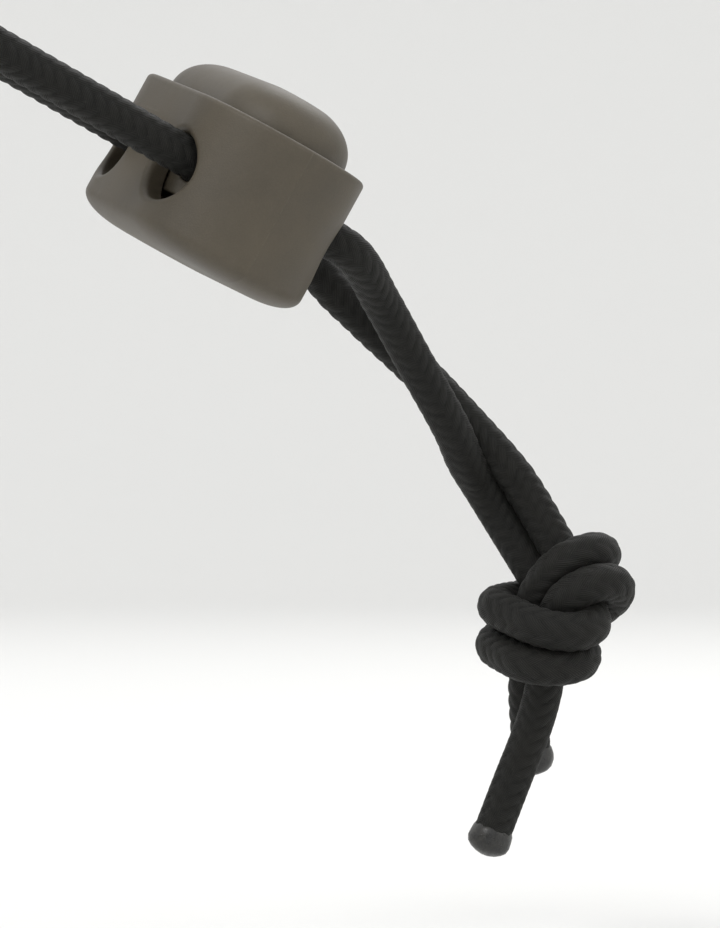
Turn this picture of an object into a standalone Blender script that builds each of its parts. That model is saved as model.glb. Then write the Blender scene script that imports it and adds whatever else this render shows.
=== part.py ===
"""A two-hole spring cord lock on its elastic cord.

Metres, +Z up. The origin is inside the bend of the cord's loop, where a holder pulls on it. The lock hangs
below and to the right of it, nose down and rolled a little about the cord, and the cord's free ends hang from
the stopper knot past the lock. In the lock's own axes, X runs along the cord towards the knot, Y runs across
the two holes, and Z runs up the plunger towards the button.
"""

import math

import bmesh
import bpy
from mathutils import Matrix, Vector

MM = 0.001

# Cord
CORD_RADIUS = 1.25 * MM
ROUTE_STEP = 2.6 * MM

# Barrel: a stadium in plan, two half circles joined by flats
SIDE_RADIUS = 6.2 * MM
SIDE_OFFSET = 4.0 * MM
BASE_Z = -4.75 * MM
RIM_Z = 5.0 * MM
WALL = 1.4 * MM
FLOOR = 1.1 * MM
HOLE_RADIUS = 2.3 * MM
HOLE_Y = 4.8 * MM
HOLE_FLARE = 0.5 * MM
RIM_ROUND = 0.35 * MM
MOUTH_BEVEL = 0.15 * MM
CORNER_IN = 2.0 * MM
CORNER_UP = 1.2 * MM
BASE_CROWN = 0.25 * MM
BASE_LAND_RADIUS = 2.6 * MM
POST_RADIUS = 0.9 * MM
POST_HEIGHT = 1.6 * MM

# Plunger, drawn at rest with the cord gripped
SLIDE_GAP = 0.15 * MM
GRIP_GAP = 0.06 * MM
PRESS_TRAVEL = 1.9 * MM
PLUNGER_FOOT = 1.1 * MM
BUTTON_TOP_Z = 7.8 * MM
DOME_IN = 2.45 * MM
DOME_UP = 2.7 * MM
DOME_CROWN = 0.25 * MM
BUTTON_LAND_RADIUS = 0.6 * MM
BUTTON_LAND_OFFSET = 2.2 * MM
POCKET_RADIUS = 1.75 * MM
POCKET_TOP_Z = 5.0 * MM

# Snap barbs on the plunger's ends, in blind grooves in the barrel's end walls
BARB_REACH = 0.45 * MM
BARB_WIDTH = 2.6 * MM
BARB_HEIGHT = 0.9 * MM
GROOVE_DEPTH = 0.65 * MM
GROOVE_SIDE_GAP = 0.25 * MM
GROOVE_END_GAP = 0.3 * MM

# Spring
WIRE_RADIUS = 0.2 * MM
COIL_RADIUS = 1.4 * MM
ACTIVE_TURNS = 7
CLOSED_TURNS = 1.25
CLOSED_PITCH = 0.47 * MM
SPRING_GAP = 0.05 * MM

# Heat-sealed ends: how far along each and how wide, past a gap from the cord that it closes
SEAL_GAP = 0.3 * MM
SEAL_PROFILE = [(0, 1.1), (0.25, 1.35), (0.8, 1.45), (1.2, 1.3), (1.5, 0.8)]

# Knot
KNOT_HALF = Vector((5.05, 5.35, 5.15)) * MM
KNOT_LOBE = 0.1

# Attitude of the lock, and where its holes' centre is along the straight cord from the origin
NOSE_DOWN = math.radians(26)
ROLL = math.radians(13)
HOLD_TO_LOCK = 24.5 * MM

CORD_Z = HOLE_RADIUS - GRIP_GAP - CORD_RADIUS
WINDOW_Z = 2 * (HOLE_RADIUS - CORD_RADIUS - GRIP_GAP)
PLUNGER_BOTTOM_Z = WINDOW_Z - HOLE_RADIUS - PLUNGER_FOOT
FLOOR_Z = BASE_Z + FLOOR
BORE_RADIUS = SIDE_RADIUS - WALL
PLUNGER_RADIUS = BORE_RADIUS - SLIDE_GAP
ARC_STEPS = 12
ROUND_STEPS = 24

LOCK_TURN = Matrix.Rotation(NOSE_DOWN, 3, "Y") @ Matrix.Rotation(ROLL, 3, "X")
LOCK_CENTRE = LOCK_TURN @ Vector((HOLD_TO_LOCK, 0, -CORD_Z))

# The cord's free stretches, in mm from the lock's centre, along the world's axes
NEAR_STRAND = [
    (7.1, -4.8, -3.7),
    (10.6, -2.2, -6.6),
    (13.7, -0.7, -10.2),
    (17.4, 0.7, -14.8),
    (19.1, 1.9, -16.9),
    (21.2, 3.1, -18.9),
    (22.6, 2.6, -21.6),
]
FAR_STRAND = [
    (8.0, 4.4, -1.9),
    (9.4, 3.6, -4.9),
    (12.0, 2.8, -7.6),
    (15.1, 1.8, -10.6),
    (19.8, 2.0, -14.8),
    (21.8, 1.7, -16.9),
    (23.4, 1.4, -18.9),
    (24.4, 0.4, -21.6),
]
KNOT_CENTRE = (23.9, -1.3, -26.9)
LONG_TAIL = [(23.0, -1.4, -32.4), (22.7, -0.5, -34.5), (21.8, 0.4, -37.6), (20.7, 1.1, -41.0)]
SHORT_TAIL = [(23.3, 1.2, -32.3), (23.7, 1.7, -33.6), (24.2, 2.2, -35.8)]

# The loop's half, in mm in the lock's axes: straight from the exit side of the lock, then a round bend
STRAIGHT_XS = (5.0, 1.0, -3.0, -7.0, -10.5, -14.0, -17.2)
LOOP_RADIUS = 5.1
LOOP_CENTRE_X = -20.7
LOOP_ANGLES = (90, 67.5, 45, 22.5)

# colour, roughness and metallic value
MOULDED_PLASTIC = ((0.100, 0.083, 0.058, 1), 0.55, 0.0)
BUTTON_PLASTIC = ((0.105, 0.087, 0.061, 1), 0.52, 0.0)
SPRING_STEEL = ((0.55, 0.55, 0.56, 1), 0.3, 1.0)
CORD_BRAID = ((0.020, 0.020, 0.017, 1), 0.85, 0.0)
SEALED_END = ((0.012, 0.012, 0.011, 1), 0.35, 0.0)


def clear_scene():
    for thing in list(bpy.data.objects):
        bpy.data.objects.remove(thing)


def material(name, look):
    colour, roughness, metallic = look
    made = bpy.data.materials.new(name)
    made.use_nodes = True
    shader = made.node_tree.nodes["Principled BSDF"]
    shader.inputs["Base Color"].default_value = colour
    shader.inputs["Roughness"].default_value = roughness
    shader.inputs["Metallic"].default_value = metallic
    return made


def new_object(name, mesh, look, parent):
    made = bpy.data.objects.new(name, mesh)
    bpy.context.scene.collection.objects.link(made)
    made.parent = parent
    if look:
        mesh.materials.append(material(name, look))
    return made


def new_empty(name, location, turn):
    made = bpy.data.objects.new(name, None)
    bpy.context.scene.collection.objects.link(made)
    made.matrix_world = Matrix.Translation(location) @ turn.to_4x4()
    return made


def stadium(radius, offset, z):
    """The ring of a stadium's points, anticlockwise seen from above."""
    ring = []
    for side in (1, -1):
        start = 0 if side == 1 else math.pi
        for step in range(ARC_STEPS + 1):
            angle = start + math.pi * step / ARC_STEPS
            ring.append(Vector((radius * math.cos(angle), side * offset + radius * math.sin(angle), z)))
    return ring


def circle(radius, centre, across, up):
    """The ring of a circle's points, turning from across to up."""
    ring = []
    for step in range(ROUND_STEPS):
        angle = math.tau * step / ROUND_STEPS
        ring.append(centre + across * (radius * math.cos(angle)) + up * (radius * math.sin(angle)))
    return ring


def loft(name, rings):
    """A closed mesh through rings of equal length, with flat ends, its faces pointing out."""
    shape = bmesh.new()
    rows = [[shape.verts.new(point) for point in ring] for ring in rings]
    count = len(rows[0])
    for low, high in zip(rows, rows[1:]):
        for i in range(count):
            j = (i + 1) % count
            shape.faces.new((low[i], low[j], high[j], high[i]))
    shape.faces.new(list(reversed(rows[0])))
    shape.faces.new(rows[-1])
    bmesh.ops.recalc_face_normals(shape, faces=shape.faces)
    mesh = bpy.data.meshes.new(name)
    shape.to_mesh(mesh)
    shape.free()
    return mesh


def smooth(thing):
    thing.data.shade_smooth()
    thing.data.set_sharp_from_angle(angle=math.radians(35))


def combine(target, other, operation):
    """Adds a Boolean of another object, which then only guides."""
    step = target.modifiers.new(other.name, "BOOLEAN")
    step.operation = operation
    step.solver = "EXACT"
    step.object = other
    other.hide_render = True
    other.display_type = "WIRE"


def quarter(steps):
    """Sine and cosine pairs over a quarter turn."""
    angles = [math.pi / 2 * step / steps for step in range(steps + 1)]
    return [(math.sin(angle), math.cos(angle)) for angle in angles]


def hole_cutter(name, side, z, flare, parent):
    """A round cutter along X for one cord passage, wider at its mouths by flare."""
    reach = SIDE_RADIUS + 2 * MM
    mouth = SIDE_RADIUS - HOLE_FLARE
    across = Vector((0, 1, 0))
    up = Vector((0, 0, 1))
    rings = []
    for x in (-reach, -SIDE_RADIUS, -mouth, mouth, SIDE_RADIUS, reach):
        extra = 0 if abs(x) == mouth else flare
        rings.append(circle(HOLE_RADIUS + extra, Vector((x, side * HOLE_Y, z)), across, up))
    return new_object(name, loft(name, rings), None, parent)


def upright_cylinder(name, radius, low, high, parent):
    across = Vector((1, 0, 0))
    along = Vector((0, 1, 0))
    rings = [circle(radius, Vector((0, 0, z)), across, along) for z in (low, high)]
    return new_object(name, loft(name, rings), None, parent)


def make_barrel(parent):
    """The moulded outer body: a cup with a crowned base, a rounded rim, two cord holes and a spring post."""
    corner_z = BASE_Z + BASE_CROWN + CORNER_UP
    rings = [stadium(BASE_LAND_RADIUS, SIDE_OFFSET, BASE_Z)]
    for low, flat in reversed(quarter(5)):
        rings.append(stadium(SIDE_RADIUS - CORNER_IN * (1 - flat), SIDE_OFFSET, corner_z - CORNER_UP * low))
    for high, flat in quarter(3):
        inset = RIM_ROUND * (1 - flat)
        rings.append(stadium(SIDE_RADIUS - inset, SIDE_OFFSET, RIM_Z - RIM_ROUND * (1 - high)))
    rings.append(stadium(BORE_RADIUS + MOUTH_BEVEL, SIDE_OFFSET, RIM_Z))
    rings.append(stadium(BORE_RADIUS, SIDE_OFFSET, RIM_Z - MOUTH_BEVEL))
    rings.append(stadium(BORE_RADIUS, SIDE_OFFSET, FLOOR_Z + 2 * MOUTH_BEVEL))
    rings.append(stadium(BORE_RADIUS - 2 * MOUTH_BEVEL, SIDE_OFFSET, FLOOR_Z))
    barrel = new_object("barrel", loft("barrel", rings), MOULDED_PLASTIC, parent)
    for side, word in ((-1, "near"), (1, "far")):
        combine(barrel, hole_cutter(f"barrel_{word}_hole", side, 0, HOLE_FLARE, parent), "DIFFERENCE")
        combine(barrel, groove_cutter(word, side, parent), "DIFFERENCE")
    post = upright_cylinder("post", POST_RADIUS, FLOOR_Z - FLOOR / 2, FLOOR_Z + POST_HEIGHT, parent)
    combine(barrel, post, "UNION")
    smooth(barrel)
    return barrel


def block(name, low, high, parent):
    """A plain box between two corners."""
    shape = bmesh.new()
    bmesh.ops.create_cube(shape, size=1)
    for vertex in shape.verts:
        for axis in range(3):
            middle = (low[axis] + high[axis]) / 2
            vertex.co[axis] = middle + vertex.co[axis] * (high[axis] - low[axis])
    mesh = bpy.data.meshes.new(name)
    shape.to_mesh(mesh)
    shape.free()
    return new_object(name, mesh, None, parent)


def groove_cutter(word, side, parent):
    """A blind groove in one end wall, as long as the barb's travel."""
    half = BARB_WIDTH / 2 + GROOVE_SIDE_GAP
    end = SIDE_OFFSET + BORE_RADIUS
    ys = sorted((side * (end - 0.5 * MM), side * (end + GROOVE_DEPTH)))
    low = PLUNGER_BOTTOM_Z - PRESS_TRAVEL - GROOVE_END_GAP
    high = PLUNGER_BOTTOM_Z + BARB_HEIGHT + GROOVE_END_GAP
    return block(f"{word}_groove", (-half, ys[0], low), (half, ys[1], high), parent)


def barb(word, side, parent):
    """A snap barb with a sloping lower face, standing out of the plunger's end."""
    root = SIDE_OFFSET + PLUNGER_RADIUS - 0.6 * MM
    tip = SIDE_OFFSET + PLUNGER_RADIUS + BARB_REACH
    low_tip = SIDE_OFFSET + PLUNGER_RADIUS - 0.1 * MM
    half = BARB_WIDTH / 2
    outline = [
        (root, PLUNGER_BOTTOM_Z + 0.1 * MM),
        (low_tip, PLUNGER_BOTTOM_Z + 0.1 * MM),
        (tip, PLUNGER_BOTTOM_Z + 0.6 * BARB_HEIGHT),
        (tip, PLUNGER_BOTTOM_Z + BARB_HEIGHT),
        (root, PLUNGER_BOTTOM_Z + BARB_HEIGHT),
    ]
    rings = [[Vector((x, side * y, z)) for y, z in outline] for x in (-half, half)]
    return new_object(f"{word}_barb", loft(f"{word}_barb", rings), None, parent)


def make_plunger(parent):
    """The sliding inner body: two cord windows, a spring pocket, two barbs and the domed button."""
    rings = [
        stadium(PLUNGER_RADIUS - MOUTH_BEVEL, SIDE_OFFSET, PLUNGER_BOTTOM_Z),
        stadium(PLUNGER_RADIUS, SIDE_OFFSET, PLUNGER_BOTTOM_Z + MOUTH_BEVEL),
    ]
    crown_z = BUTTON_TOP_Z - DOME_CROWN
    for high, flat in quarter(6):
        inset = DOME_IN * (1 - flat)
        rings.append(stadium(PLUNGER_RADIUS - inset, SIDE_OFFSET, crown_z - DOME_UP * (1 - high)))
    edge_radius = PLUNGER_RADIUS - DOME_IN
    for share in (0.35, 0.7, 1.0):
        radius = edge_radius + (BUTTON_LAND_RADIUS - edge_radius) * share
        offset = SIDE_OFFSET + (BUTTON_LAND_OFFSET - SIDE_OFFSET) * share
        rise = DOME_CROWN * math.sin(share * math.pi / 2)
        rings.append(stadium(radius, offset, crown_z + rise))
    plunger = new_object("plunger", loft("plunger", rings), BUTTON_PLASTIC, parent)
    for side, word in ((-1, "near"), (1, "far")):
        combine(plunger, hole_cutter(f"plunger_{word}_window", side, WINDOW_Z, 0, parent), "DIFFERENCE")
        combine(plunger, barb(word, side, parent), "UNION")
    pocket = upright_cylinder("pocket", POCKET_RADIUS, PLUNGER_BOTTOM_Z - MM, POCKET_TOP_Z, parent)
    combine(plunger, pocket, "DIFFERENCE")
    smooth(plunger)
    return plunger


def spring_height(turn, low, high):
    """How high the coil has climbed after so many turns, slowly over the closed turns at each end."""
    total = ACTIVE_TURNS + 2 * CLOSED_TURNS
    closed = CLOSED_TURNS * CLOSED_PITCH
    open_pitch = (high - low - 2 * closed) / ACTIVE_TURNS
    if turn < CLOSED_TURNS:
        return low + turn * CLOSED_PITCH
    if turn > total - CLOSED_TURNS:
        return high - (total - turn) * CLOSED_PITCH
    return low + closed + (turn - CLOSED_TURNS) * open_pitch


def tube(name, points, radius, sides_setting, look, parent):
    """A round tube along the points, with closed ends."""
    curve = bpy.data.curves.new(name, "CURVE")
    curve.dimensions = "3D"
    curve.bevel_depth = radius
    curve.bevel_resolution = sides_setting
    curve.use_fill_caps = True
    spline = curve.splines.new("POLY")
    spline.points.add(len(points) - 1)
    for target, point in zip(spline.points, points):
        target.co = (*point, 1)
    return new_object(name, curve, look, parent)


def make_spring(parent):
    low = FLOOR_Z + WIRE_RADIUS + SPRING_GAP
    high = POCKET_TOP_Z - WIRE_RADIUS - SPRING_GAP
    total = ACTIVE_TURNS + 2 * CLOSED_TURNS
    per_turn = 12
    points = []
    for step in range(int(total * per_turn) + 1):
        turn = step / per_turn
        angle = math.tau * turn
        height = spring_height(turn, low, high)
        points.append((COIL_RADIUS * math.cos(angle), COIL_RADIUS * math.sin(angle), height))
    return tube("spring", points, WIRE_RADIUS, 1, SPRING_STEEL, parent)


def in_lock(x, y, z):
    """A point in mm in the lock's axes, as a place in the world."""
    return LOCK_CENTRE + LOCK_TURN @ (Vector((x, y, z)) * MM)


def below_lock(point):
    """A point in mm from the lock's centre along the world's axes, as a place in the world."""
    return LOCK_CENTRE + Vector(point) * MM


def smooth_route(places, step):
    """Evenly spaced points on a smooth curve through the places."""
    ends = [places[0] * 2 - places[1], *places, places[-1] * 2 - places[-2]]
    fine = []
    for before, start, end, after in zip(ends, ends[1:], ends[2:], ends[3:]):
        for share in (i / 24 for i in range(24)):
            square = share * share
            cube = square * share
            fine.append(
                (
                    start * 2
                    + (end - before) * share
                    + (before * 2 - start * 5 + end * 4 - after) * square
                    + (start * 3 - before - end * 3 + after) * cube
                )
                / 2
            )
    fine.append(places[-1])
    travelled = [0.0]
    for here, there in zip(fine, fine[1:]):
        travelled.append(travelled[-1] + (there - here).length)
    count = max(3, round(travelled[-1] / step))
    route = []
    at = 0
    for k in range(count + 1):
        wanted = travelled[-1] * k / count
        while at < len(fine) - 2 and travelled[at + 1] < wanted:
            at += 1
        share = (wanted - travelled[at]) / (travelled[at + 1] - travelled[at])
        route.append(fine[at].lerp(fine[at + 1], min(1, share)))
    return route


def strand_places(hanging, side):
    """One strand's places from its end at the knot, up through the lock, to its share of the loop's bend."""
    places = [below_lock(point) for point in reversed(hanging)]
    places += [in_lock(x, side * HOLE_Y / MM, CORD_Z / MM) for x in STRAIGHT_XS]
    for angle in LOOP_ANGLES:
        turn = math.radians(angle)
        x = LOOP_CENTRE_X - LOOP_RADIUS * math.cos(turn)
        places.append(in_lock(x, side * LOOP_RADIUS * math.sin(turn), CORD_Z / MM))
    return places


def make_cord_run(parent):
    """The cord from the knot through one hole, round the loop and back through the other hole."""
    near = strand_places(NEAR_STRAND, -1)
    far = strand_places(FAR_STRAND, 1)
    apex = in_lock(LOOP_CENTRE_X - LOOP_RADIUS, 0, CORD_Z / MM)
    route = smooth_route([*near, apex, *reversed(far)], ROUTE_STEP)
    return tube("cord_run", route, CORD_RADIUS, 2, CORD_BRAID, parent)


def knot_reach(direction):
    """How far the knot's skin is from its centre: an oval with a lobe on each side and a waist."""
    oval = 1 / math.sqrt(sum((direction[i] / KNOT_HALF[i]) ** 2 for i in range(3)))
    return oval * (1 - KNOT_LOBE * (1 - abs(direction.x)) * abs(direction.z))


def make_knot(parent):
    shape = bmesh.new()
    bmesh.ops.create_icosphere(shape, subdivisions=4, radius=1)
    centre = below_lock(KNOT_CENTRE)
    for vertex in shape.verts:
        direction = vertex.co.normalized()
        vertex.co = centre + direction * knot_reach(direction)
    mesh = bpy.data.meshes.new("stopper_knot")
    shape.to_mesh(mesh)
    shape.free()
    mesh.shade_smooth()
    return new_object("stopper_knot", mesh, CORD_BRAID, parent)


def make_tail(word, places, parent):
    """A short free end of the cord, and the bead that its melted sheath makes."""
    route = smooth_route([below_lock(point) for point in places], ROUTE_STEP)
    tube(f"tail_{word}", route, CORD_RADIUS, 2, CORD_BRAID, parent)
    along = (route[-1] - route[-2]).normalized()
    across = along.orthogonal().normalized()
    up = along.cross(across)
    rings = []
    for distance, radius in SEAL_PROFILE:
        rings.append(circle(radius * MM, route[-1] + along * (SEAL_GAP + distance * MM), across, up))
    seal = new_object(f"sealed_end_{word}", loft(f"sealed_end_{word}", rings), SEALED_END, parent)
    smooth(seal)


def build():
    clear_scene()
    lock = new_empty("lock_axes", LOCK_CENTRE, LOCK_TURN)
    cord = new_empty("cord_axes", Vector((0, 0, 0)), Matrix.Identity(3))
    bpy.context.view_layer.update()
    make_barrel(lock)
    make_plunger(lock)
    make_spring(lock)
    make_cord_run(cord)
    make_knot(cord)
    make_tail("long", LONG_TAIL, cord)
    make_tail("short", SHORT_TAIL, cord)


build()
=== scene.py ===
"""The looks of a two-hole spring cord lock on its knotted elastic cord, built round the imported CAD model.

Everything is in metres in the CAD's frame. The cord is one length, swept as a braided tube from the end of
its long tail, up through the stopper knot and the lock's near hole, round the loop, and back through the far
hole and the knot to its short tail. It is cut into the same stretches as the CAD's nodes.
"""

import math

import bmesh
import bpy
import numpy as np
from mathutils import Matrix, Vector, noise


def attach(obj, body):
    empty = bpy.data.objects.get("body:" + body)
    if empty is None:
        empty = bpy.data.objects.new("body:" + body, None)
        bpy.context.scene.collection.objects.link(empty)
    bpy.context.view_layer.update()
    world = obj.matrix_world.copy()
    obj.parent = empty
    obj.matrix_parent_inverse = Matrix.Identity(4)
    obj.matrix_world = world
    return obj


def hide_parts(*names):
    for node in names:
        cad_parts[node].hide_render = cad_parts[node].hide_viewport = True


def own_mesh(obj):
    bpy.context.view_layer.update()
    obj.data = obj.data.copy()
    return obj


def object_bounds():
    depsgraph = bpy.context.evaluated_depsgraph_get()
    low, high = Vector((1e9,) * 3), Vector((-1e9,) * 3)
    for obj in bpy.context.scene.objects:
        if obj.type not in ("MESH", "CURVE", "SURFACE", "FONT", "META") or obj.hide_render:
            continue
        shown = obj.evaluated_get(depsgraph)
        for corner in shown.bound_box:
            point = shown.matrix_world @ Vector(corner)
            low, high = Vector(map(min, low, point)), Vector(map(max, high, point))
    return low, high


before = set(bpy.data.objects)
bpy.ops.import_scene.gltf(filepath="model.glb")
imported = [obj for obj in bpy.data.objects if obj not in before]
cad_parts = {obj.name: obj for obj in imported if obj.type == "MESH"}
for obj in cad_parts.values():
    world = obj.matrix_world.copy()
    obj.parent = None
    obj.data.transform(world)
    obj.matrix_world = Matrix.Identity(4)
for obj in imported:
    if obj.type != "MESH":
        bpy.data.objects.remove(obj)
cad_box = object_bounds()

MM = 0.001

# The lock's attitude and dimensions, as the CAD has them
CORD_RADIUS = 1.25 * MM
SIDE_RADIUS = 6.2 * MM
SIDE_OFFSET = 4.0 * MM
BASE_Z = -4.75 * MM
RIM_Z = 5.0 * MM
WALL = 1.4 * MM
FLOOR = 1.1 * MM
HOLE_RADIUS = 2.3 * MM
HOLE_Y = 4.8 * MM
HOLE_FLARE = 0.5 * MM
RIM_ROUND = 0.35 * MM
MOUTH_BEVEL = 0.15 * MM
CORNER_UP = 1.2 * MM
BASE_CROWN = 0.25 * MM
BASE_LAND_RADIUS = 2.6 * MM
POST_RADIUS = 0.9 * MM
POST_HEIGHT = 1.6 * MM
SLIDE_GAP = 0.15 * MM
GRIP_GAP = 0.06 * MM
PRESS_TRAVEL = 1.9 * MM
PLUNGER_FOOT = 1.1 * MM
BUTTON_TOP_Z = 7.8 * MM
DOME_IN = 2.45 * MM
DOME_UP = 2.7 * MM
DOME_CROWN = 0.25 * MM
BUTTON_LAND_RADIUS = 0.6 * MM
BUTTON_LAND_OFFSET = 2.2 * MM
POCKET_RADIUS = 1.75 * MM
POCKET_TOP_Z = 5.0 * MM
BARB_REACH = 0.45 * MM
BARB_WIDTH = 2.6 * MM
BARB_HEIGHT = 0.9 * MM
GROOVE_DEPTH = 0.65 * MM
GROOVE_SIDE_GAP = 0.25 * MM
GROOVE_END_GAP = 0.3 * MM
WIRE_RADIUS = 0.2 * MM
COIL_RADIUS = 1.4 * MM
ACTIVE_TURNS = 7
CLOSED_TURNS = 1.25
CLOSED_PITCH = 0.47 * MM
SPRING_GAP = 0.05 * MM
NOSE_DOWN = math.radians(26)
ROLL = math.radians(13)
HOLD_TO_LOCK = 24.5 * MM

CORD_Z = HOLE_RADIUS - GRIP_GAP - CORD_RADIUS
WINDOW_Z = 2 * (HOLE_RADIUS - CORD_RADIUS - GRIP_GAP)
PLUNGER_BOTTOM_Z = WINDOW_Z - HOLE_RADIUS - PLUNGER_FOOT
FLOOR_Z = BASE_Z + FLOOR
BORE_RADIUS = SIDE_RADIUS - WALL
PLUNGER_RADIUS = BORE_RADIUS - SLIDE_GAP
LOCK_TURN = Matrix.Rotation(NOSE_DOWN, 3, "Y") @ Matrix.Rotation(ROLL, 3, "X")
LOCK_CENTRE = LOCK_TURN @ Vector((HOLD_TO_LOCK, 0, -CORD_Z))
LOCK_PLACE = Matrix.Translation(LOCK_CENTRE) @ LOCK_TURN.to_4x4()

# The cord's route, in mm: its free stretches from the lock's centre along the world's axes
NEAR_STRAND = [
    (7.1, -4.8, -3.7),
    (10.6, -2.2, -6.6),
    (13.7, -0.7, -10.2),
    (17.4, 0.7, -14.8),
    (19.1, 1.9, -16.9),
    (21.2, 3.1, -18.9),
]
FAR_STRAND = [
    (8.0, 4.4, -1.9),
    (9.4, 3.6, -4.9),
    (12.0, 2.8, -7.6),
    (15.1, 1.8, -10.6),
    (19.8, 2.0, -14.8),
    (21.8, 1.7, -16.9),
    (23.4, 1.4, -18.9),
]
KNOT_CENTRE = (23.9, -1.3, -26.9)
LONG_TAIL = [(22.7, -0.5, -34.5), (21.8, 0.4, -37.6), (20.7, 1.1, -41.0)]
SHORT_TAIL = [(23.7, 1.7, -33.6), (24.2, 2.2, -35.8)]

# and its way through the lock and round the loop, in mm in the lock's axes
STRAIGHT_XS = (5.0, 1.0, -3.0, -7.0, -10.5, -14.0, -17.2)
LOOP_RADIUS = 5.1
LOOP_CENTRE_X = -20.7
LOOP_ANGLES = (90, 67.5, 45, 22.5)

# Camera: how it looks at the lock, where it aims from the lock's centre, and how much it takes in
AZIMUTH = math.radians(-28)
AIM_RIGHT = 9.0 * MM
AIM_UP = -17.0 * MM
VIEW_HEIGHT = 59 * MM
FOCAL_LENGTH = 200
SENSOR_HEIGHT = 36
BACK = Vector((math.sin(AZIMUTH), -math.cos(AZIMUTH), 0))
RIGHT = Vector((math.cos(AZIMUTH), math.sin(AZIMUTH), 0))
UP = Vector((0, 0, 1))


def make_camera():
    data = bpy.data.cameras.new("camera")
    data.lens = FOCAL_LENGTH
    data.sensor_fit = "VERTICAL"
    data.sensor_height = SENSOR_HEIGHT
    data.clip_start = 0.01
    camera = bpy.data.objects.new("camera", data)
    bpy.context.scene.collection.objects.link(camera)
    aim = LOCK_CENTRE + RIGHT * AIM_RIGHT + UP * AIM_UP
    camera.location = aim + BACK * (VIEW_HEIGHT * FOCAL_LENGTH / SENSOR_HEIGHT)
    camera.rotation_euler = (-BACK).to_track_quat("-Z", "Y").to_euler()
    bpy.context.scene.camera = camera


# ---------------------------------------------------------------- the knot, in mm

NODES = 200
PAIR_HALF_GAP = 1.3
CORD_TOUCH = 2.35
KNOT_STEPS = 3600
KNOT_SHRINK = 0.35
KNOT_LEAD = 5.6
KNOT_TURN = math.radians(100)
KNOT_TILT = math.radians(12)


def spaced(points, count):
    """The same line with a number of evenly spaced points."""
    gaps = np.linalg.norm(np.diff(points, axis=0), axis=1)
    along = np.concatenate([[0], np.cumsum(gaps)])
    at = np.linspace(0, along[-1], count)
    return np.stack([np.interp(at, along, points[:, k]) for k in range(3)], axis=1)


def loose_overhand():
    """A loose overhand knot in one strand from top to bottom: an opened trefoil with its ends led away."""
    big = 7.0
    small = 3.4
    lead = 22.0
    cut = 0.16
    turn = np.linspace(cut, 2 * np.pi - cut, 400)
    reach = big + small * np.cos(3 * turn)
    trefoil = np.stack([reach * np.cos(2 * turn), reach * np.sin(2 * turn), small * np.sin(3 * turn)], axis=1)
    out = big + small
    # how each end is led away from the trefoil: out, share of its first y, and up
    away = [(0, 0, lead), (2.5, 1.5, 9), (3, 1.6, 4.5), (1.5, 1.3, 2.5)]
    head = np.array([(out + x, y * trefoil[0, 1], z) for x, y, z in away])
    tail = np.array([(out + x, y * trefoil[-1, 1], -z) for x, y, z in reversed(away)])
    line = spaced(np.concatenate([head, trefoil, tail]), NODES)
    for _ in range(60):
        line[1:-1] += 0.5 * (0.5 * (line[2:] + line[:-2]) - line[1:-1])
    line[:, 0] -= out
    return line


def carried(line, first):
    """A direction across the line at each point, carried along it without twisting."""
    along = np.gradient(line, axis=0)
    along /= np.linalg.norm(along, axis=1, keepdims=True)
    across = [np.cross(along[0], first)]
    across[0] /= np.linalg.norm(across[0])
    for direction in along[1:]:
        turned = across[-1] - direction * np.dot(across[-1], direction)
        across.append(turned / np.linalg.norm(turned))
    return along, np.array(across)


def doubled(line):
    """Two strands side by side along the line."""
    across = carried(line, (0, 1, 0.3))[1]
    pair = np.stack([line + across * PAIR_HALF_GAP, line - across * PAIR_HALF_GAP])
    for end in (0, -1):
        side = (pair[0, end] - pair[1, end])[:2]
        side *= PAIR_HALF_GAP / np.linalg.norm(side)
        pair[0, end, :2] = side
        pair[1, end, :2] = -side
    return pair


def pull_tight(pair):
    """Shortens both strands between their fixed ends, with no strand passing through another."""
    strands, count, _ = pair.shape
    ends = pair[:, [0, -1]].copy()
    spacing = np.linalg.norm(np.diff(pair, axis=1), axis=2).mean()
    one, other = np.triu_indices(strands * count, 1)
    apart = np.where(one // count == other // count, other - one, 10**6)
    for step in range(KNOT_STEPS):
        if step % 10 == 0:
            flat = pair.reshape(-1, 3)
            now = np.linalg.norm(np.diff(pair, axis=1), axis=2).mean()
            close = np.linalg.norm(flat[one] - flat[other], axis=1) < CORD_TOUCH + 1.5
            close &= apart > 1.35 * CORD_TOUCH / now
            a, b = one[close], other[close]
        rest = spacing * max(KNOT_SHRINK, 1 - (1 - KNOT_SHRINK) * step / (0.8 * KNOT_STEPS))
        for _ in range(4):
            pair = relaxed(pair, rest, a, b)
            pair[:, [0, -1]] = ends
    return pair


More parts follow.
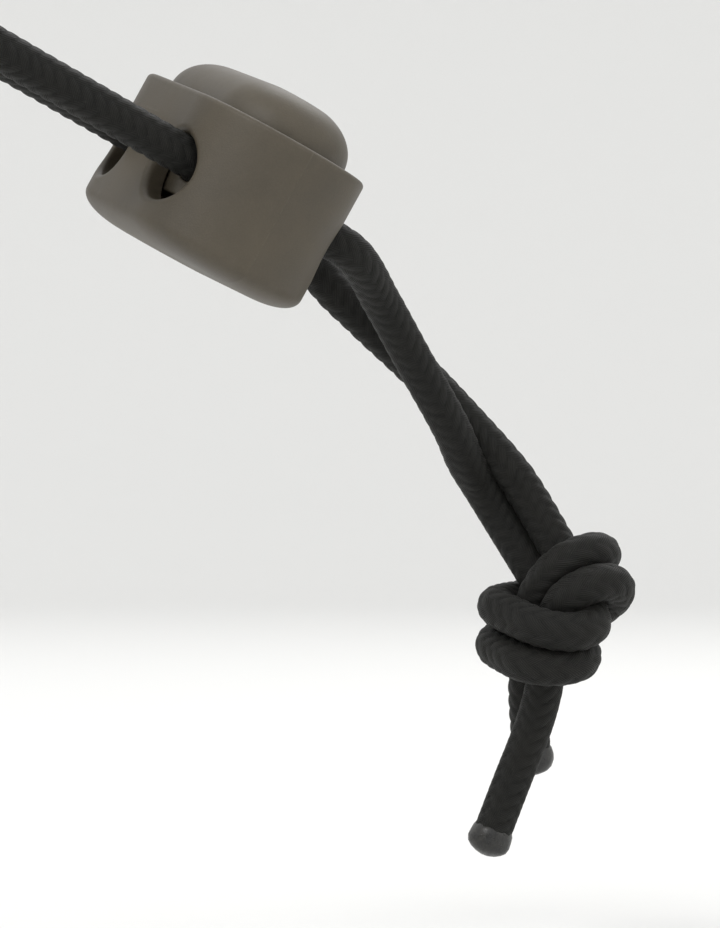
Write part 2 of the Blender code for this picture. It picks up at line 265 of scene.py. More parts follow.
def relaxed(pair, rest, a, b):
    """One round of drawing neighbours together, easing bends and pushing touching strands apart."""
    for odd in (0, 1):
        here, there = pair[:, odd:-1:2], pair[:, odd + 1 :: 2]
        many = min(here.shape[1], there.shape[1])
        gap = there[:, :many] - here[:, :many]
        length = np.linalg.norm(gap, axis=2, keepdims=True)
        move = 0.25 * (length - rest) / length * gap
        pair[:, odd : odd + 2 * many : 2] += move
        pair[:, odd + 1 : odd + 1 + 2 * many : 2] -= move
    ease = 0.25 * (0.5 * (pair[:, 2:] + pair[:, :-2]) - pair[:, 1:-1])
    pair[:, 1:-1] += ease
    pair[:, :-2] -= 0.5 * ease
    pair[:, 2:] -= 0.5 * ease
    flat = pair.reshape(-1, 3)
    for _ in range(2):
        gap = flat[a] - flat[b]
        far = np.linalg.norm(gap, axis=1)
        hit = far < CORD_TOUCH
        push = (0.5 * (CORD_TOUCH - far[hit]) / np.maximum(far[hit], 1e-6))[:, None] * gap[hit]
        size = len(flat)
        pushed = [
            np.bincount(a[hit], push[:, k], size) - np.bincount(b[hit], push[:, k], size)
            for k in range(3)
        ]
        total = np.stack(pushed, axis=1)
        touches = np.bincount(a[hit], minlength=size) + np.bincount(b[hit], minlength=size)
        flat = flat + 1.2 * total / np.maximum(touches, 1)[:, None]
    return flat.reshape(pair.shape)


def knot_strands():
    """Both strands of the tight knot in place, top to bottom, in mm from the lock's centre."""
    pair = pull_tight(doubled(loose_overhand()))
    pair = pair[:, ::-1] * (1, 1, -1)
    core = pair[np.abs(pair[:, :, 2]) < 4]
    pair = pair - (core.min(0) + core.max(0)) / 2
    place = Matrix.Rotation(KNOT_TILT, 3, BACK) @ Matrix.Rotation(KNOT_TURN, 3, "Z")
    pair = pair @ np.array(place).T
    strands = []
    for strand in pair:
        inside = np.flatnonzero(np.abs(strand[:, 2]) < KNOT_LEAD)
        strands.append(strand[inside[0] : inside[-1] + 1] + KNOT_CENTRE)
    return strands


# ---------------------------------------------------------------- the cord

ROUTE_STEP = 0.14
CORD_SIDES = 52
# how far above or below the knot's centre the cord's bends are eased, in mm
EASE_FROM = 4.4
EASE_TO = 9
EASE_ROUNDS = 250


def world_mm(points):
    """Points in mm from the lock's centre, as mm from the origin."""
    return np.array(points, float) + np.array(LOCK_CENTRE) / MM


def lock_mm(points):
    """Points in mm in the lock's axes, as mm from the origin."""
    return np.array([(LOCK_PLACE @ (Vector(point) * MM)) / MM for point in points])


def curved(places, step):
    """Evenly spaced points on a smooth curve through the places (centripetal Catmull-Rom)."""
    places = np.asarray(places, float)
    ends = np.concatenate([[2 * places[0] - places[1]], places, [2 * places[-1] - places[-2]]])
    fine = []
    for p0, p1, p2, p3 in zip(ends, ends[1:], ends[2:], ends[3:]):
        t1 = np.linalg.norm(p1 - p0) ** 0.5
        t2 = t1 + np.linalg.norm(p2 - p1) ** 0.5
        t3 = t2 + np.linalg.norm(p3 - p2) ** 0.5
        t = np.linspace(t1, t2, 24, endpoint=False)[:, None]
        a1 = (t1 - t) / t1 * p0 + t / t1 * p1
        a2 = (t2 - t) / (t2 - t1) * p1 + (t - t1) / (t2 - t1) * p2
        a3 = (t3 - t) / (t3 - t2) * p2 + (t - t2) / (t3 - t2) * p3
        b1 = (t2 - t) / t2 * a1 + t / t2 * a2
        b2 = (t3 - t) / (t3 - t1) * a2 + (t - t1) / (t3 - t1) * a3
        fine.append((t2 - t) / (t2 - t1) * b1 + (t - t1) / (t2 - t1) * b2)
    fine = np.concatenate([*fine, [places[-1]]])
    length = np.linalg.norm(np.diff(fine, axis=0), axis=1).sum()
    return spaced(fine, round(length / step) + 1)


def eased(line, share):
    """The line with its bends eased where share is above 0."""
    for _ in range(EASE_ROUNDS):
        line[1:-1] += 0.5 * share[1:-1, None] * (0.5 * (line[2:] + line[:-2]) - line[1:-1])
    return line


def cord_route():
    """The cord's centres in mm, from the long tail's end to the short tail's, and where it is cut."""
    knots = sorted(knot_strands(), key=lambda strand: strand[0] @ np.array(RIGHT))
    ends = ((-1, NEAR_STRAND, knots[0], LONG_TAIL), (1, FAR_STRAND, knots[1], SHORT_TAIL))
    turns = [math.radians(angle) for angle in LOOP_ANGLES]
    bend = [(LOOP_CENTRE_X - LOOP_RADIUS * math.cos(turn), LOOP_RADIUS * math.sin(turn)) for turn in turns]
    halves = []
    seams = []
    for side, strand, knot, tail in ends:
        tight = world_mm(knot[::-3])
        places = [*world_mm(tail)[::-1], *tight, *world_mm(strand)[::-1]]
        places += [*lock_mm([(x, side * HOLE_Y / MM, CORD_Z / MM) for x in STRAIGHT_XS])]
        places += [*lock_mm([(x, side * y, CORD_Z / MM) for x, y in bend])]
        halves.append(places)
        seams += [tight[0], tight[-1]]
    apex = lock_mm([(LOOP_CENTRE_X - LOOP_RADIUS, 0, CORD_Z / MM)])
    line = curved([*halves[0], *apex, *halves[1][::-1]], ROUTE_STEP)
    cuts = sorted(int(np.linalg.norm(line - seam, axis=1).argmin()) for seam in seams)
    from_knot = np.abs(line[:, 2] - world_mm([KNOT_CENTRE])[0, 2])
    line = eased(line, np.clip(np.minimum(from_knot - EASE_FROM, EASE_TO - from_knot), 0, 1))
    return line, cuts


# ---------------------------------------------------------------- meshes


def new_piece(name, mesh, look, body, slot, *nodes):
    """A piece that rides on a body and stands for CAD nodes."""
    piece = bpy.data.objects.new(name, mesh)
    bpy.context.scene.collection.objects.link(piece)
    mesh.materials.clear()
    mesh.materials.append(look)
    mesh.shade_smooth()
    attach(piece, body)
    if nodes:
        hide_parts(*nodes)
    return piece


def closed_loft(name, rings, tips=None):
    """A closed mesh through rings of equal length. Tips are points that close its ends, or they are flat."""
    shape = bmesh.new()
    rows = [[shape.verts.new(point) for point in ring] for ring in rings]
    count = len(rows[0])
    for low, high in zip(rows, rows[1:]):
        for i in range(count):
            j = (i + 1) % count
            shape.faces.new((low[i], low[j], high[j], high[i]))
    if tips:
        first, last = (shape.verts.new(tip) for tip in tips)
        for i in range(count):
            j = (i + 1) % count
            shape.faces.new((rows[0][j], rows[0][i], first))
            shape.faces.new((rows[-1][i], rows[-1][j], last))
    else:
        shape.faces.new(list(reversed(rows[0])))
        shape.faces.new(rows[-1])
    bmesh.ops.recalc_face_normals(shape, faces=shape.faces)
    mesh = bpy.data.meshes.new(name)
    shape.to_mesh(mesh)
    shape.free()
    return mesh


def float_attribute(mesh, name, values):
    made = mesh.attributes.new(name, "FLOAT", "POINT")
    made.data.foreach_set("value", np.asarray(values, np.float32))


# ---------------------------------------------------------------- the braid

CARRIERS = 8
YARN_RISE = 0.11
WEAVE_RISE = 0.05
BRAID_SINK = 0.12


def braid_height(along, around):
    """How high the sheath stands in mm, which way its top yarn runs, and how deep in a gap it is, which the
    material turns into painted shade in the gaps and a painted highlight on the crowns.

    Yarns wind both ways round the cord, and each passes over two of the others and under two.
    """
    cell = 2 * np.pi * CORD_RADIUS / MM / CARRIERS
    left = CARRIERS * around + along / cell
    right = CARRIERS * around - along / cell
    heights = []
    for mine, other, sign in ((left, right, 1), (right, left, -1)):
        across = 2 * (mine % 1) - 1
        crown = np.sqrt(np.maximum(0, 1 - (0.97 * across) ** 2))
        wave = sign * np.sin(np.pi / 2 * (other + np.floor(mine)))
        heights.append(YARN_RISE * crown + WEAVE_RISE * wave)
    top = np.maximum(*heights)
    return top - BRAID_SINK, (heights[0] > heights[1]).astype(float), top / (YARN_RISE + WEAVE_RISE)


def braided_mesh(name, stretches, centres, across, along):
    """A mesh of braided tubes, one for each stretch of the cord's rings, with closed ends."""
    angles = np.arange(CORD_SIDES) / CORD_SIDES
    third = np.cross(along, across)
    verts, faces, uvs, runs, painted_shade_heights = [], [], [], [], []
    base = 0
    for first, last in stretches:
        rows = np.arange(first, last + 1)
        travelled = rows[:, None] * ROUTE_STEP
        rise, run, painted_shade_height = braid_height(travelled, angles[None, :])
        radius = CORD_RADIUS / MM + rise
        turn = 2 * np.pi * angles
        ring = across[rows][:, None] * np.cos(turn)[None, :, None]
        ring = ring + third[rows][:, None] * np.sin(turn)[None, :, None]
        grid = centres[rows][:, None] + ring * radius[:, :, None]
        verts.append(grid.reshape(-1, 3))
        verts.append(centres[[first, last]])
        runs += [run.ravel(), [0, 0]]
        painted_shade_heights += [painted_shade_height.ravel(), [0, 0]]
        many = len(rows)
        row, side = np.meshgrid(np.arange(many - 1), np.arange(CORD_SIDES), indexing="ij")
        next_side = (side + 1) % CORD_SIDES
        quads = np.stack(
            [
                base + row * CORD_SIDES + side,
                base + row * CORD_SIDES + next_side,
                base + (row + 1) * CORD_SIDES + next_side,
                base + (row + 1) * CORD_SIDES + side,
            ],
            axis=-1,
        ).reshape(-1, 4)
        faces += quads.tolist()
        girth = 2 * np.pi * CORD_RADIUS / MM
        corners = []
        for du, dv in [(0, 0), (0, 1), (1, 1), (1, 0)]:
            u = travelled[row, 0] + du * ROUTE_STEP
            corners.append(np.stack([u, (side + dv) / CORD_SIDES * girth], -1))
        uvs.append(np.stack(corners, axis=2).reshape(-1, 2))
        head, foot = base + many * CORD_SIDES, base + many * CORD_SIDES + 1
        last_row = base + (many - 1) * CORD_SIDES
        for i in range(CORD_SIDES):
            j = (i + 1) % CORD_SIDES
            faces.append([base + j, base + i, head])
            faces.append([last_row + i, last_row + j, foot])
        uvs.append(np.zeros((6 * CORD_SIDES, 2)))
        base += many * CORD_SIDES + 2
    mesh = bpy.data.meshes.new(name)
    mesh.from_pydata((np.concatenate(verts) * MM).tolist(), [], faces)
    layer = mesh.uv_layers.new(name="along")
    layer.data.foreach_set("uv", np.concatenate(uvs).astype(np.float32).ravel())
    float_attribute(mesh, "run", np.concatenate(runs))
    # the yarns' heights, which the braid's material turns into painted shade in the gaps and a painted
    # highlight on the crowns
    float_attribute(mesh, "height", np.concatenate(painted_shade_heights))
    mesh.validate()
    mesh.set_sharp_from_angle(angle=math.radians(75))
    return mesh


# ---------------------------------------------------------------- the lock's shapes, in its own axes

ARC_STEPS = 36
SEAM_TURN = math.radians(0.6)
SEAM_RISE = 0.03 * MM
ROUND_STEPS = 64
BASE_FULLNESS = 2.3
DOME_FULLNESS = 2.2


def stadium(radius, offset, z, seam=0):
    """The ring of a stadium's points, anticlockwise from above, with the mould's seam raised on both ends."""
    quarter_turn = math.pi / 2
    angles = [math.pi * step / ARC_STEPS for step in range(ARC_STEPS + 1) if 2 * step != ARC_STEPS]
    angles += [quarter_turn - SEAM_TURN, quarter_turn, quarter_turn + SEAM_TURN]
    ring = []
    for side in (1, -1):
        for angle in sorted(angles):
            reach = radius + (seam if angle == quarter_turn else 0)
            x = side * reach * math.cos(angle)
            y = side * (offset + reach * math.sin(angle))
            ring.append(Vector((x, y, z)))
    return ring


def ring_of(radius, centre, across, up, steps=ROUND_STEPS):
    turns = [math.tau * step / steps for step in range(steps)]
    return [centre + across * (radius * math.cos(turn)) + up * (radius * math.sin(turn)) for turn in turns]


def quarter(steps):
    """Sine and cosine pairs over a quarter turn."""
    angles = [math.pi / 2 * step / steps for step in range(steps + 1)]
    return [(math.sin(angle), math.cos(angle)) for angle in angles]


def rounded(steps, fullness):
    """The same over a quarter of a superellipse. A fullness of 2 is a circle, and more is squarer."""
    return [(abs(high) ** (2 / fullness), abs(flat) ** (2 / fullness)) for high, flat in quarter(steps)]


def flank(y, radius):
    """How far out a stadium's side is at that y."""
    past = max(0, abs(y) - SIDE_OFFSET)
    return math.sqrt(max(0, radius * radius - past * past))


def passage(name, side, z, radius, mouth):
    """A cutter for one cord passage along X, its mouths rounded to follow the curved flank of that radius."""
    profile = [(HOLE_RADIUS + mouth * (1 - high), mouth * (1 - flat)) for high, flat in reversed(quarter(8))]
    profile += [(HOLE_RADIUS + mouth + 0.03 * MM, -0.15 * MM), (HOLE_RADIUS + mouth + 0.3 * MM, -2 * MM)]
    rings = []
    for sign, rows in ((-1, reversed(profile)), (1, profile)):
        for wide, deep in rows:
            ring = []
            for step in range(ROUND_STEPS):
                turn = math.tau * step / ROUND_STEPS
                y = side * HOLE_Y + wide * math.cos(turn)
                ring.append(Vector((sign * (flank(y, radius) - deep), y, z + wide * math.sin(turn))))
            rings.append(ring)
    return closed_loft(name, rings)


def upright(name, radius, low, high, edge=0.0):
    """A cylinder along Z with a small bevel on its top edge."""
    across, along = Vector((1, 0, 0)), Vector((0, 1, 0))
    rows = [(radius, low), (radius, high - edge), (radius - edge, high)]
    return closed_loft(name, [ring_of(wide, Vector((0, 0, z)), across, along, 48) for wide, z in rows])


def block(name, low, high):
    corners = [(low[0], low[1]), (high[0], low[1]), (high[0], high[1]), (low[0], high[1])]
    return closed_loft(name, [[Vector((x, y, z)) for x, y in corners] for z in (low[2], high[2])])


def carve(mesh, steps):
    """The mesh after exact Booleans with other meshes, in order."""
    base = bpy.data.objects.new("carved", mesh)
    bpy.context.scene.collection.objects.link(base)
    helpers = [base]
    for other, operation in steps:
        helper = bpy.data.objects.new("helper", other)
        bpy.context.scene.collection.objects.link(helper)
        helpers.append(helper)
        cut = base.modifiers.new("cut", "BOOLEAN")
        cut.operation = operation
        cut.solver = "EXACT"
        cut.object = helper
    weld = base.modifiers.new("weld", "WELD")
    weld.merge_threshold = 0.002 * MM
    graph = bpy.context.evaluated_depsgraph_get()
    result = bpy.data.meshes.new_from_object(base.evaluated_get(graph))
    for helper in helpers:
        bpy.data.objects.remove(helper)
    result.transform(LOCK_PLACE)
    return result


def mark_edges(mesh, reach):
    """Notes on each vertex how proud it stands of its neighbours, so that the material can wear there."""
    shape = bmesh.new()
    shape.from_mesh(mesh)
    shape.normal_update()
    proud = []
    for vertex in shape.verts:
        total = 0.0
        for edge in vertex.link_edges:
            away = edge.other_vert(vertex).co - vertex.co
            total -= away.normalized().dot(vertex.normal)
        proud.append(min(1.0, max(0.0, reach * total / max(1, len(vertex.link_edges)))))
    shape.free()
    float_attribute(mesh, "edge", proud)


def finish_shape(mesh, sharp):
    mesh.shade_smooth()
    mesh.set_sharp_from_angle(angle=math.radians(sharp))
    mark_edges(mesh, 3.0)


def barrel_mesh():
    corner_z = BASE_Z + BASE_CROWN + CORNER_UP
    seam = SEAM_RISE
    rings = []
    for low, flat in reversed(rounded(24, BASE_FULLNESS)):
        wide = BASE_LAND_RADIUS + (SIDE_RADIUS - BASE_LAND_RADIUS) * flat
        rings.append(stadium(wide, SIDE_OFFSET, corner_z + (BASE_Z - corner_z) * low, seam))
    straight = RIM_Z - RIM_ROUND - corner_z
    for share in (k / 14 for k in range(1, 14)):
        rings.append(stadium(SIDE_RADIUS, SIDE_OFFSET, corner_z + straight * share, seam))
    for high, flat in quarter(8):
        inset = RIM_ROUND * (1 - flat)
        rings.append(stadium(SIDE_RADIUS - inset, SIDE_OFFSET, RIM_Z - RIM_ROUND * (1 - high), seam * flat))
    for high, flat in reversed(quarter(3)):
        wide = BORE_RADIUS + MOUTH_BEVEL * (1 - high)
        rings.append(stadium(wide, SIDE_OFFSET, RIM_Z - MOUTH_BEVEL * (1 - flat)))
    fillet = 2 * MOUTH_BEVEL
    for high, flat in quarter(3):
        rings.append(stadium(BORE_RADIUS - fillet * (1 - flat), SIDE_OFFSET, FLOOR_Z + fillet * (1 - high)))
    steps = []
    for side in (-1, 1):
        steps.append((passage("passage", side, 0, SIDE_RADIUS, HOLE_FLARE), "DIFFERENCE"))
        steps.append((groove_block(side), "DIFFERENCE"))
    post = upright("post", POST_RADIUS, FLOOR_Z - FLOOR / 2, FLOOR_Z + POST_HEIGHT, 0.2 * MM)
    steps.append((post, "UNION"))
    mesh = carve(closed_loft("barrel_shell", rings), steps)
    finish_shape(mesh, 32)
    return mesh


def groove_block(side):
    half = BARB_WIDTH / 2 + GROOVE_SIDE_GAP
    end = SIDE_OFFSET + BORE_RADIUS
    ys = sorted((side * (end - 0.5 * MM), side * (end + GROOVE_DEPTH)))
    low = PLUNGER_BOTTOM_Z - PRESS_TRAVEL - GROOVE_END_GAP
    high = PLUNGER_BOTTOM_Z + BARB_HEIGHT + GROOVE_END_GAP
    return block("groove", (-half, ys[0], low), (half, ys[1], high))


def barb_mesh(side):
    root = SIDE_OFFSET + PLUNGER_RADIUS - 0.6 * MM
    tip = SIDE_OFFSET + PLUNGER_RADIUS + BARB_REACH
    low_tip = SIDE_OFFSET + PLUNGER_RADIUS - 0.1 * MM
    foot, top = PLUNGER_BOTTOM_Z + 0.1 * MM, PLUNGER_BOTTOM_Z + BARB_HEIGHT
    slope_top = PLUNGER_BOTTOM_Z + 0.6 * BARB_HEIGHT
    outline = [(root, foot), (low_tip, foot), (tip, slope_top), (tip, top), (root, top)]
    half = BARB_WIDTH / 2
    return closed_loft("barb", [[Vector((x, side * y, z)) for y, z in outline] for x in (-half, half)])


def plunger_mesh():
    rings = []
    for high, flat in reversed(quarter(3)):
        wide = PLUNGER_RADIUS - MOUTH_BEVEL * (1 - flat)
        rings.append(stadium(wide, SIDE_OFFSET, PLUNGER_BOTTOM_Z + MOUTH_BEVEL * (1 - high)))
    crown_z = BUTTON_TOP_Z - DOME_CROWN
    low = PLUNGER_BOTTOM_Z + MOUTH_BEVEL
    for share in (k / 12 for k in range(1, 12)):
        rings.append(stadium(PLUNGER_RADIUS, SIDE_OFFSET, low + (crown_z - DOME_UP - low) * share))
    edge = PLUNGER_RADIUS - DOME_IN
    for high, flat in rounded(24, DOME_FULLNESS):
        wide = BUTTON_LAND_RADIUS + (PLUNGER_RADIUS - BUTTON_LAND_RADIUS) * flat
        share = max(0, (edge - wide) / (edge - BUTTON_LAND_RADIUS))
        offset = SIDE_OFFSET + (BUTTON_LAND_OFFSET - SIDE_OFFSET) * share * share * (3 - 2 * share)
        rings.append(stadium(wide, offset, crown_z - DOME_UP + (DOME_UP + DOME_CROWN) * high))
    steps = []
    for side in (-1, 1):
        steps.append((passage("window", side, WINDOW_Z, PLUNGER_RADIUS, 0.2 * MM), "DIFFERENCE"))
        steps.append((barb_mesh(side), "UNION"))
    steps.append((upright("pocket", POCKET_RADIUS, PLUNGER_BOTTOM_Z - MM, POCKET_TOP_Z), "DIFFERENCE"))
    mesh = carve(closed_loft("plunger_body", rings), steps)
    finish_shape(mesh, 32)
    return mesh


def spring_height(turn, low, high):
    total = ACTIVE_TURNS + 2 * CLOSED_TURNS
    closed = CLOSED_TURNS * CLOSED_PITCH
    if turn < CLOSED_TURNS:
        return low + turn * CLOSED_PITCH
    if turn > total - CLOSED_TURNS:
        return high - (total - turn) * CLOSED_PITCH
    return low + closed + (turn - CLOSED_TURNS) * (high - low - 2 * closed) / ACTIVE_TURNS


def spring_mesh():
    """The coil of round wire, its ends cut square."""
    low = FLOOR_Z + WIRE_RADIUS + SPRING_GAP
    high = POCKET_TOP_Z - WIRE_RADIUS - SPRING_GAP
    total = ACTIVE_TURNS + 2 * CLOSED_TURNS
    rings, ends = [], []
    for step in range(int(total * 40) + 1):
        turn = math.tau * step / 40
        out = Vector((math.cos(turn), math.sin(turn), 0))
        centre = out * COIL_RADIUS + Vector((0, 0, spring_height(step / 40, low, high)))
        rings.append(ring_of(WIRE_RADIUS, centre, out, Vector((0, 0, 1)), 12))
        ends.append(centre)
    mesh = closed_loft("spring_coil", rings, (ends[0], ends[-1]))
    mesh.transform(LOCK_PLACE)
    return mesh


# ---------------------------------------------------------------- sealed ends

# how far past the cut and how wide, in mm
SEAL_ROWS = [
    (-0.35, 1.0),
    (-0.15, 1.24),
    (0.1, 1.34),
    (0.5, 1.4),
    (0.85, 1.42),
    (1.2, 1.3),
    (1.45, 1.06),
    (1.65, 0.7),
    (1.76, 0.3),
]


def melted_bead(name, end, along, across):
    """The mushroomed bead of melted sheath at a cut end, slightly uneven."""
    third = along.cross(across)
    rings = []
    for distance, radius in SEAL_ROWS:
        ring = []
        for point in ring_of(radius * MM, end + along * (distance * MM), across, third, 40):
            swell = 0.07 * MM * noise.noise(point / MM * 1.1) + 0.02 * MM * noise.noise(point / MM * 4)
            middle = end + along * (distance * MM)
            ring.append(point + (point - middle).normalized() * swell)
        rings.append(ring)
    tips = (end + along * (SEAL_ROWS[0][0] * MM), end + along * (1.78 * MM))
    return closed_loft(name, rings, tips)


# ---------------------------------------------------------------- materials


class Look:
    """A Principled material and the nodes that feed it."""

    def __init__(self, name, **settings):
        self.made = bpy.data.materials.new(name)
        self.made.use_nodes = True
        self.tree = self.made.node_tree
        self.shader = self.tree.nodes["Principled BSDF"]
        for socket, value in settings.items():
            self.shader.inputs[socket.replace("_", " ")].default_value = value

    def node(self, kind, inputs=(), **settings):
        made = self.tree.nodes.new(kind)
        for key, value in settings.items():
            setattr(made, key, value)
        for socket, value in dict(inputs).items():
            if isinstance(value, bpy.types.NodeSocket):
                self.tree.links.new(value, made.inputs[socket])
            else:
                made.inputs[socket].default_value = value
        return made

    def place(self):
        return self.node("ShaderNodeTexCoord").outputs["Object"]

    def noise(self, vector, size, detail=3.0, rough=0.55):
        inputs = {"Vector": vector, "Scale": 1 / size, "Detail": detail, "Roughness": rough}
        return self.node("ShaderNodeTexNoise", inputs).outputs["Fac"]

    def ramp(self, value, low, high, to_low=0.0, to_high=1.0):
        inputs = {"Value": value, "From Min": low, "From Max": high, "To Min": to_low, "To Max": to_high}
        return self.node("ShaderNodeMapRange", inputs).outputs["Result"]

    def maths(self, operation, a, b):
        return self.node("ShaderNodeMath", {0: a, 1: b}, operation=operation).outputs[0]

    def mix(self, share, a, b):
        made = self.node("ShaderNodeMix", {"Factor": share}, data_type="RGBA")
        for socket, value in ((6, a), (7, b)):
            if isinstance(value, bpy.types.NodeSocket):
                self.tree.links.new(value, made.inputs[socket])
            else:
                made.inputs[socket].default_value = (*value, 1)
        return made.outputs[2]

    def mark(self, name):
        return self.node("ShaderNodeAttribute", attribute_name=name).outputs["Fac"]

    def bump(self, height, distance, strength, under=None):
        inputs = {"Height": height, "Distance": distance, "Strength": strength}
        if under:
            inputs["Normal"] = under
        return self.node("ShaderNodeBump", inputs).outputs["Normal"]

    def feed(self, **sockets):
        for socket, value in sockets.items():
            self.tree.links.new(value, self.shader.inputs[socket.replace("_", " ")])
        return self.made


def moulded_plastic(name, colour, worn, roughness):
    """Matte moulded plastic: fine eroded grain, faint flow clouding, and paler smoother edges."""
    look = Look(name, IOR=1.5)
    place = look.place()
    cloud = look.noise(place, 4.5 * MM, 4)
    grain = look.noise(place, 0.11 * MM, 2, 0.6)
    scuff = look.noise(place, 0.8 * MM, 5, 0.7)
    rub = look.maths("MULTIPLY", look.mark("edge"), look.ramp(scuff, 0.42, 0.68))
    dark = tuple(0.84 * part for part in colour)
    light = tuple(1.16 * part for part in colour)
    base = look.mix(look.ramp(cloud, 0.3, 0.7), dark, light)
    base = look.mix(look.ramp(grain, 0.35, 0.75, 0, 0.22), base, tuple(1.7 * part for part in colour))
    base = look.mix(look.ramp(rub, 0, 1, 0, 0.6), base, worn)
    rough = look.ramp(cloud, 0.3, 0.7, roughness - 0.05, roughness + 0.05)
    rough = look.maths("SUBTRACT", rough, look.ramp(rub, 0, 1, 0, 0.16))
    bump = look.bump(grain, 0.02 * MM, 0.55)
    bump = look.bump(scuff, 0.03 * MM, 0.18, bump)
    return look.feed(Base_Color=base, Roughness=rough, Normal=bump)


def braided_sheath(name):
    """Black textile braid: each yarn is a bundle of filaments, dusty on top, with painted shade in the gaps,
    a painted highlight on the yarn crowns and a painted sheen along the filaments.
    """
    look = Look(name, Specular_IOR_Level=0.2, Sheen_Weight=0.03, Sheen_Roughness=0.4)
    look.shader.inputs["Sheen Tint"].default_value = (0.8, 0.8, 0.76, 1)
    uv = look.node("ShaderNodeUVMap", uv_map="along").outputs["UV"]
    strands = []
    for turn in (45, -45):
        turned = {"Vector": uv, "Rotation": (0, 0, math.radians(turn))}
        mapped = look.node("ShaderNodeMapping", turned).outputs["Vector"]
        inputs = {"Vector": mapped, "Scale": 2.9, "Distortion": 1.1, "Detail": 2.0, "Detail Scale": 2.5}
        strands.append(look.node("ShaderNodeTexWave", inputs, bands_direction="Y").outputs["Fac"])
    run = look.mark("run")
    chosen = {0: run, 2: strands[1], 3: strands[0]}
    fibre = look.node("ShaderNodeMix", chosen, data_type="FLOAT").outputs[0]
    high = look.mark("height")
    place = look.place()
    patch = look.noise(place, 2.2 * MM, 4)
    dust = look.noise(place, 0.25 * MM, 3)
    # painted shade and highlight: darker where the yarn lies low in its gaps, lighter where it stands high on
    # its crowns
    base = look.mix(look.ramp(high, 0.25, 0.95), (0.0012, 0.0012, 0.0010), (0.0085, 0.0085, 0.0074))
    # painted sheen: the filaments' crests are painted lighter, a painted highlight along each yarn; the same
    # pattern also sets the real roughness and bump below
    base = look.mix(look.ramp(fibre, 0.2, 0.9, 0, 0.5), base, (0.0165, 0.0165, 0.0145))
    base = look.mix(look.ramp(patch, 0.4, 0.75, 0, 0.35), base, (0.013, 0.012, 0.0095))
    base = look.mix(look.ramp(dust, 0.62, 0.8, 0, 0.3), base, (0.034, 0.033, 0.029))
    rough = look.ramp(fibre, 0, 1, 0.78, 0.55)
    bump = look.bump(fibre, 0.03 * MM, 0.7)
    return look.feed(Base_Color=base, Roughness=rough, Normal=bump)


def melted_nylon(name):
    """Sheath melted to a hard glossy bead, with ripples and pits where it was pressed."""
    look = Look(name, IOR=1.53)
    place = look.place()
    ripple = look.noise(place, 0.6 * MM, 4)
    pits = look.noise(place, 0.14 * MM, 2)
    base = look.mix(look.ramp(ripple, 0.35, 0.7), (0.004, 0.004, 0.0035), (0.016, 0.015, 0.012))
    rough = look.ramp(pits, 0.35, 0.7, 0.26, 0.5)
    bump = look.bump(ripple, 0.08 * MM, 0.5)
    bump = look.bump(pits, 0.02 * MM, 0.4, bump)
    return look.feed(Base_Color=base, Roughness=rough, Normal=bump)


def spring_steel(name):
    """Drawn spring wire: bright steel with faint draw marks and a little straw colour."""
    look = Look(name, Metallic=1.0)
    place = look.place()
    marks = look.noise(place, 0.05 * MM, 3)
    tint = look.noise(place, 1.6 * MM, 2)
    base = look.mix(look.ramp(tint, 0.4, 0.7), (0.52, 0.52, 0.53), (0.50, 0.45, 0.37))
    rough = look.ramp(marks, 0.3, 0.7, 0.2, 0.4)
    return look.feed(Base_Color=base, Roughness=rough, Normal=look.bump(marks, 0.01 * MM, 0.3))


def studio_paper(name):
    look = Look(name, Roughness=0.9, Specular_IOR_Level=0.1)
    fibre = look.noise(look.place(), 0.4 * MM, 3)
    base = look.mix(look.ramp(fibre, 0.3, 0.7), (0.775, 0.775, 0.765), (0.785, 0.785, 0.775))
    return look.feed(Base_Color=base)


# ---------------------------------------------------------------- studio

FLOOR_DROP = 6 * MM
FLOOR_REACH = 0.85
SWEEP_RADIUS = 0.25
WALL_TOP = 0.4
SWEEP_SIDES = 96
WORLD_STRENGTH = 1.05
# place from the lock's centre as right, towards the camera and up, then size in metres and power in watts
LIGHTS = [
    ("key", (-0.22, 0.40, 0.46), 0.26, 1.2),
    ("fill", (0.52, 0.28, 0.10), 0.45, 0.3),
    ("rim", (0.18, -0.45, 0.42), 0.30, 0.8),
]


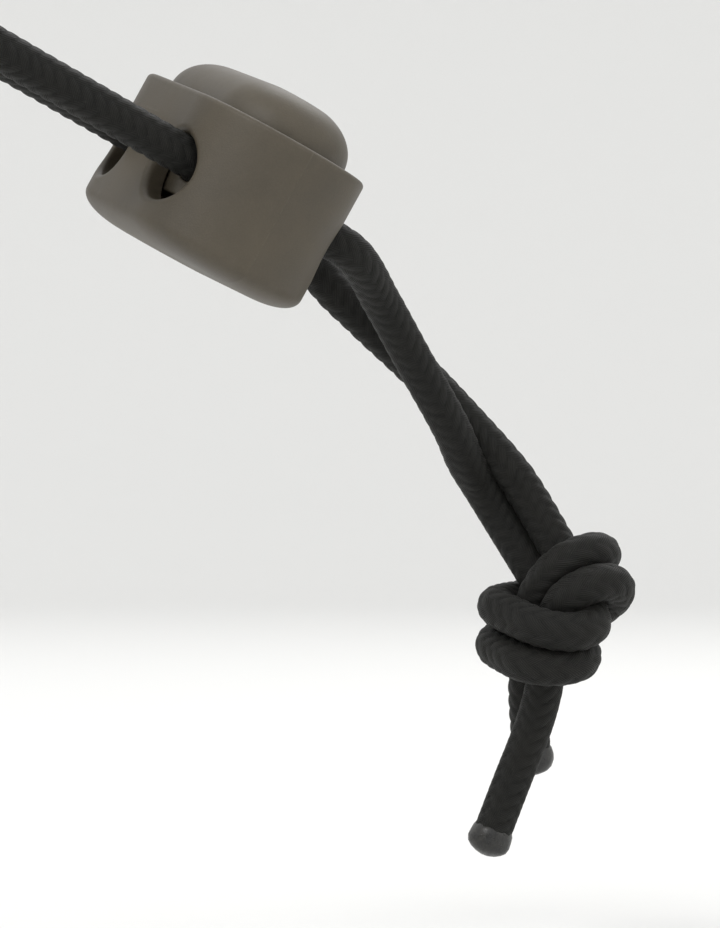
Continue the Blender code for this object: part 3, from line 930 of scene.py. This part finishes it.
def make_studio():
    """A pale floor that sweeps up all round, and soft lights."""
    floor_z = cad_box[0].z - FLOOR_DROP
    profile = [(0.02, 0), (0.2, 0), (0.5, 0), (FLOOR_REACH, 0)]
    for high, flat in quarter(12)[1:]:
        profile.append((FLOOR_REACH + SWEEP_RADIUS * high, SWEEP_RADIUS * (1 - flat)))
    profile += [(FLOOR_REACH + SWEEP_RADIUS, WALL_TOP)]
    across, along = Vector((1, 0, 0)), Vector((0, 1, 0))
    shape = bmesh.new()
    rows = []
    for wide, rise in profile:
        ring = ring_of(wide, Vector((0, 0, floor_z + rise)), across, along, SWEEP_SIDES)
        rows.append([shape.verts.new(point) for point in ring])
    shape.faces.new(rows[0])
    for low, high in zip(rows, rows[1:]):
        for i in range(SWEEP_SIDES):
            j = (i + 1) % SWEEP_SIDES
            shape.faces.new((low[j], low[i], high[i], high[j]))
    bmesh.ops.recalc_face_normals(shape, faces=shape.faces)
    mesh = bpy.data.meshes.new("studio_sweep")
    shape.to_mesh(mesh)
    shape.free()
    mesh.materials.append(studio_paper("studio_paper"))
    mesh.shade_smooth()
    sweep = bpy.data.objects.new("studio_sweep", mesh)
    bpy.context.scene.collection.objects.link(sweep)
    for name, (right, front, up), size, power in LIGHTS:
        data = bpy.data.lights.new(name, "AREA")
        data.energy = power
        data.shape = "DISK"
        data.size = size
        lamp = bpy.data.objects.new(name, data)
        bpy.context.scene.collection.objects.link(lamp)
        lamp.location = LOCK_CENTRE + RIGHT * right + BACK * front + UP * up
        lamp.rotation_euler = (LOCK_CENTRE - lamp.location).to_track_quat("-Z", "Y").to_euler()
    world = bpy.data.worlds.new("world")
    bpy.context.scene.world = world
    world.use_nodes = True
    world.node_tree.nodes["Background"].inputs["Color"].default_value = (1, 1, 1, 1)
    world.node_tree.nodes["Background"].inputs["Strength"].default_value = WORLD_STRENGTH
    bpy.context.scene.view_settings.view_transform = "Standard"


# ---------------------------------------------------------------- build

make_camera()

BODY_PLASTIC = (0.055, 0.0445, 0.0285)
BUTTON_PLASTIC = (0.057, 0.0465, 0.030)
WORN_PLASTIC = (0.115, 0.098, 0.072)

line, cuts = cord_route()
along, across = carried(line, (0, 1, 0.3))
last = len(line) - 1
sheath = braided_sheath("braided_sheath")
stretches = {
    "cord_run": [(cuts[1], cuts[2])],
    "stopper_knot": [(cuts[0], cuts[1]), (cuts[2], cuts[3])],
    "tail_long": [(0, cuts[0])],
    "tail_short": [(cuts[3], last)],
}
for node, spans in stretches.items():
    mesh = braided_mesh(node + "_braid", spans, line, across, along)
    new_piece(node + "_braid", mesh, sheath, "cord", "cord", node)

bead_look = melted_nylon("melted_sheath")
for word, at, sign in (("long", 0, -1), ("short", last, 1)):
    end = Vector(line[at]) * MM
    heading = Vector(sign * along[at])
    mesh = melted_bead("melted_end_" + word, end, heading, Vector(across[at]))
    new_piece("melted_end_" + word, mesh, bead_look, "cord", "sealed_end", "sealed_end_" + word)

shell = moulded_plastic("barrel_plastic", BODY_PLASTIC, WORN_PLASTIC, 0.56)
new_piece("barrel_shell", barrel_mesh(), shell, "barrel", "barrel", "barrel")
button = moulded_plastic("button_plastic", BUTTON_PLASTIC, WORN_PLASTIC, 0.53)
new_piece("plunger_body", plunger_mesh(), button, "plunger", "plunger", "plunger")
coil = new_piece("spring_coil", spring_mesh(), spring_steel("spring_wire"), "barrel", "spring", "spring")

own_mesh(coil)

make_studio()
